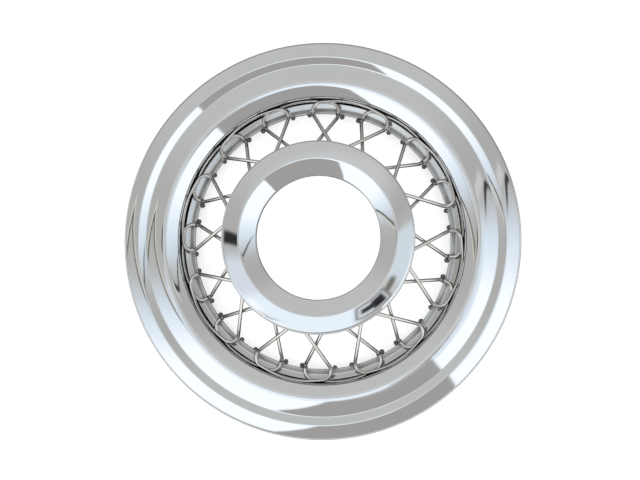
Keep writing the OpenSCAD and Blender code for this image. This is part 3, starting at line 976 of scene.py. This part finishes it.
def add_light_tent(stage):
    """Light from a pale studio tent, painted in layers over the direction it comes from.

    Lean is the direction's angle from straight up and bearing its angle clockwise from +Y, both in
    degrees. Each layer is a product of smooth windows in the two, and covers those before it. A window
    gives the angles it lies between and the angle it fades over. Each softbox begins at a slanted edge,
    the seam is a bearing that bends back at a lean of 40.5 degrees, and the hook one that bends at 36.2."""
    world = bpy.data.worlds.new("light_tent")
    bpy.context.scene.world = world
    world.use_nodes = True
    s = Shader(world.node_tree)
    x, y, z = s.split(s.node("ShaderNodeTexCoord", None, output=0))
    lean = s.node("ShaderNodeMath", {"operation": "ARCCOSINE"}, z) * math.degrees(1)
    bearing = s.node("ShaderNodeMath", {"operation": "ARCTAN2"}, x, y) * math.degrees(1)
    bearing = s.node("ShaderNodeMath", {"operation": "WRAP"}, bearing, 360.0, 0.0)

    slant = (lean - 36.0) * 0.3
    first_start = bearing - slant
    first_end = s.ramp(bearing, 137.6, 136.6)
    second_start = bearing - (lean - 37.0)
    second_edge = s.ramp(second_start, 200.5, 202.5)
    seam = bearing + s.node("ShaderNodeMath", {"operation": "ABSOLUTE"}, lean - 40.5) * 3.2
    past = lean - 36.2
    beyond = s.node("ShaderNodeMath", {"operation": "MAXIMUM"}, past, 0.0)
    hook = bearing - past * past * 0.12 - beyond * 3.0

    walls = s.window(lean, 20, 66, 4)
    roof = s.window(lean, 3, 22, 3)
    below = s.window(lean, 87, 114, 5)
    rim, black = stage.softbox_rim, stage.mark
    layers = {
        "lighter roof": (s.ramp(lean, 26, 21), (0.85, 0.85, 0.845)),
        "grey before the first softbox": (s.window(bearing, 36, 66, 14), (0.62, 0.62, 0.60)),
        "grey after the second softbox": (s.window(bearing, 266, 300, 14) * walls, (0.64, 0.63, 0.61)),
        "warm grey between the softboxes": (
            s.ramp(bearing, 136, 138) * s.ramp(second_start, 203.5, 201.5) * walls,
            (0.53, 0.51, 0.49),
        ),
        "first softbox, fading side": (s.ramp(first_start, 62, 86) * first_end * walls, rim),
        "first softbox": (s.ramp(first_start, 80, 106) * first_end * walls, stage.softbox),
        "second softbox, fading side": (second_edge * s.ramp(bearing, 268, 250) * walls, rim),
        "second softbox": (second_edge * s.ramp(bearing, 256, 236) * walls, stage.softbox),
        "dark side of the seam": (s.window(seam, 280.5, 283.5, 0.8) * walls, (0.14, 0.13, 0.09)),
        "cream side of the seam": (s.window(seam, 284.5, 287, 0.8) * walls, (0.98, 0.94, 0.84)),
        "pale patch": (
            s.window(bearing + slant, 54, 59, 1.5) * s.window(lean, 22, 34, 2),
            (0.88, 0.87, 0.87),
        ),
        "dark hook": (s.window(hook, 59.5, 62.5, 0.7) * s.window(lean, 28, 42, 2), (0.05, 0.05, 0.05)),
        "roof light between the softboxes": (s.window(bearing, 160, 252, 8) * roof, (1.22, 1.34, 1.45)),
        "roof light after the second": (
            s.window(bearing, 244, 268, 6) * s.window(lean, 3, 28, 2),
            (1.00, 1.08, 1.16),
        ),
        "roof light over the first": (s.window(bearing, 66, 114, 4) * roof, (0.95, 1.05, 1.12)),
        "top of the first softbox": (s.window(bearing, 84, 137, 1.5) * s.window(lean, 18, 24, 1.5), rim),
        "smear beside the mark": (
            s.window(bearing, 110, 126, 3) * s.window(lean, 12.2, 14.6, 0.8),
            (0.26, 0.24, 0.21),
        ),
        "outline of the mark": (
            s.window(bearing, 125, 163, 2) * s.window(lean, 11.4, 16.8, 0.4),
            (0.24, 0.23, 0.22),
        ),
        "light round the mark": (
            s.window(bearing, 127.5, 160.5, 1.5) * s.window(lean, 11.9, 16.3, 0.3),
            (0.95, 0.98, 1.02),
        ),
        "mark": (s.window(bearing, 130, 145, 1.5) * s.window(lean, 12.3, 15.9, 0.3), black),
        "tail of the mark": (s.window(bearing, 144, 157, 1.2) * s.window(lean, 13.0, 15.0, 0.4), black),
        "second mark": (s.window(bearing, 274, 281, 1) * s.window(lean, 21.5, 28.5, 1), black),
        "horizon": (s.ramp(lean, 66, 80), stage.horizon),
        "pale band below the horizon": (below, (0.62, 0.62, 0.62)),
        "bright part of that band": (below * s.window(bearing, 70, 295, 12), (1.55, 1.55, 1.53)),
    }
    light = stage.tent
    for name, (mask, colour) in layers.items():
        light = s.mix(mask, light, colour, name)
    light = s.node("ShaderNodeBackground", None, Color=light, Strength=1.0)
    s.node("ShaderNodeOutputWorld", None, Surface=light)


def add_camera(cover):
    """The camera looks down on the cover from the photograph's side, at a distance."""
    stage, trim = cover.stage, cover.trim
    level = math.sin(stage.tilt)
    back = Vector((level * math.sin(stage.bearing), level * math.cos(stage.bearing), math.cos(stage.tilt)))
    right = Vector((math.cos(stage.roll), math.sin(stage.roll), 0))
    right = (right - back * right.dot(back)).normalized()
    turn = Matrix((right, back.cross(right), back)).transposed()
    aim = Vector((0, 0, trim.rim_height))
    data = bpy.data.cameras.new("camera")
    data.sensor_width = 36.0
    focal_px = stage.rim_px * stage.distance / (trim.cover_d / 2)
    data.lens = focal_px * data.sensor_width / PICTURE_W
    data.shift_x = (PICTURE_W / 2 - stage.centre_px[0]) / PICTURE_W
    data.shift_y = (stage.centre_px[1] - PICTURE_H / 2) / PICTURE_W
    data.clip_start, data.clip_end = 0.1, 20
    camera = bpy.data.objects.new("camera", data)
    camera.matrix_world = Matrix.Translation(aim + back * stage.distance) @ turn.to_4x4()
    bpy.context.scene.collection.objects.link(camera)
    bpy.context.scene.camera = camera


class COVER_PT_sidebar(Panel):
    """Lists the cover's pieces in the 3D view's sidebar."""

    bl_idname = "COVER_PT_sidebar"
    bl_label = "Wire Wheel Cover"
    bl_space_type = "VIEW_3D"
    bl_region_type = "UI"
    bl_category = "Wheel Cover"

    def draw(self, context):
        """Draws a button for each operator and the sizes below."""
        for operator in OPERATORS:
            self.layout.operator(operator.bl_idname)
        cover = context.scene.wire_cover
        for group in (cover.trim, cover.bed, cover.wire, cover.hub, cover.finish, cover.stage):
            box = self.layout.box()
            for key in group.__annotations__:
                box.prop(group, key)


OPERATORS = (
    COVER_OT_stage,
    COVER_OT_trim_ring,
    COVER_OT_spoke_bed,
    COVER_OT_spoke_wires,
    COVER_OT_hub_ring,
    COVER_OT_steel_rings,
)
GROUPS = (TrimSizes, BedSizes, WireSizes, HubSizes, FinishSettings, StageSettings, CoverSettings)


def register():
    """Registers the classes and the cover's settings."""
    for made in (*GROUPS, *OPERATORS, COVER_PT_sidebar):
        bpy.utils.register_class(made)
    bpy.types.Scene.wire_cover = PointerProperty(type=CoverSettings)


def unregister():
    """Takes the settings and the classes away."""
    del bpy.types.Scene.wire_cover
    for made in (COVER_PT_sidebar, *reversed(OPERATORS), *reversed(GROUPS)):
        bpy.utils.unregister_class(made)


def main():
    """Builds the cover."""
    register()
    bpy.context.scene.view_settings.view_transform = "Standard"
    for operator in OPERATORS:
        group, name = operator.bl_idname.split(".")
        getattr(getattr(bpy.ops, group), name)()


if __name__ == "__main__":
    main()
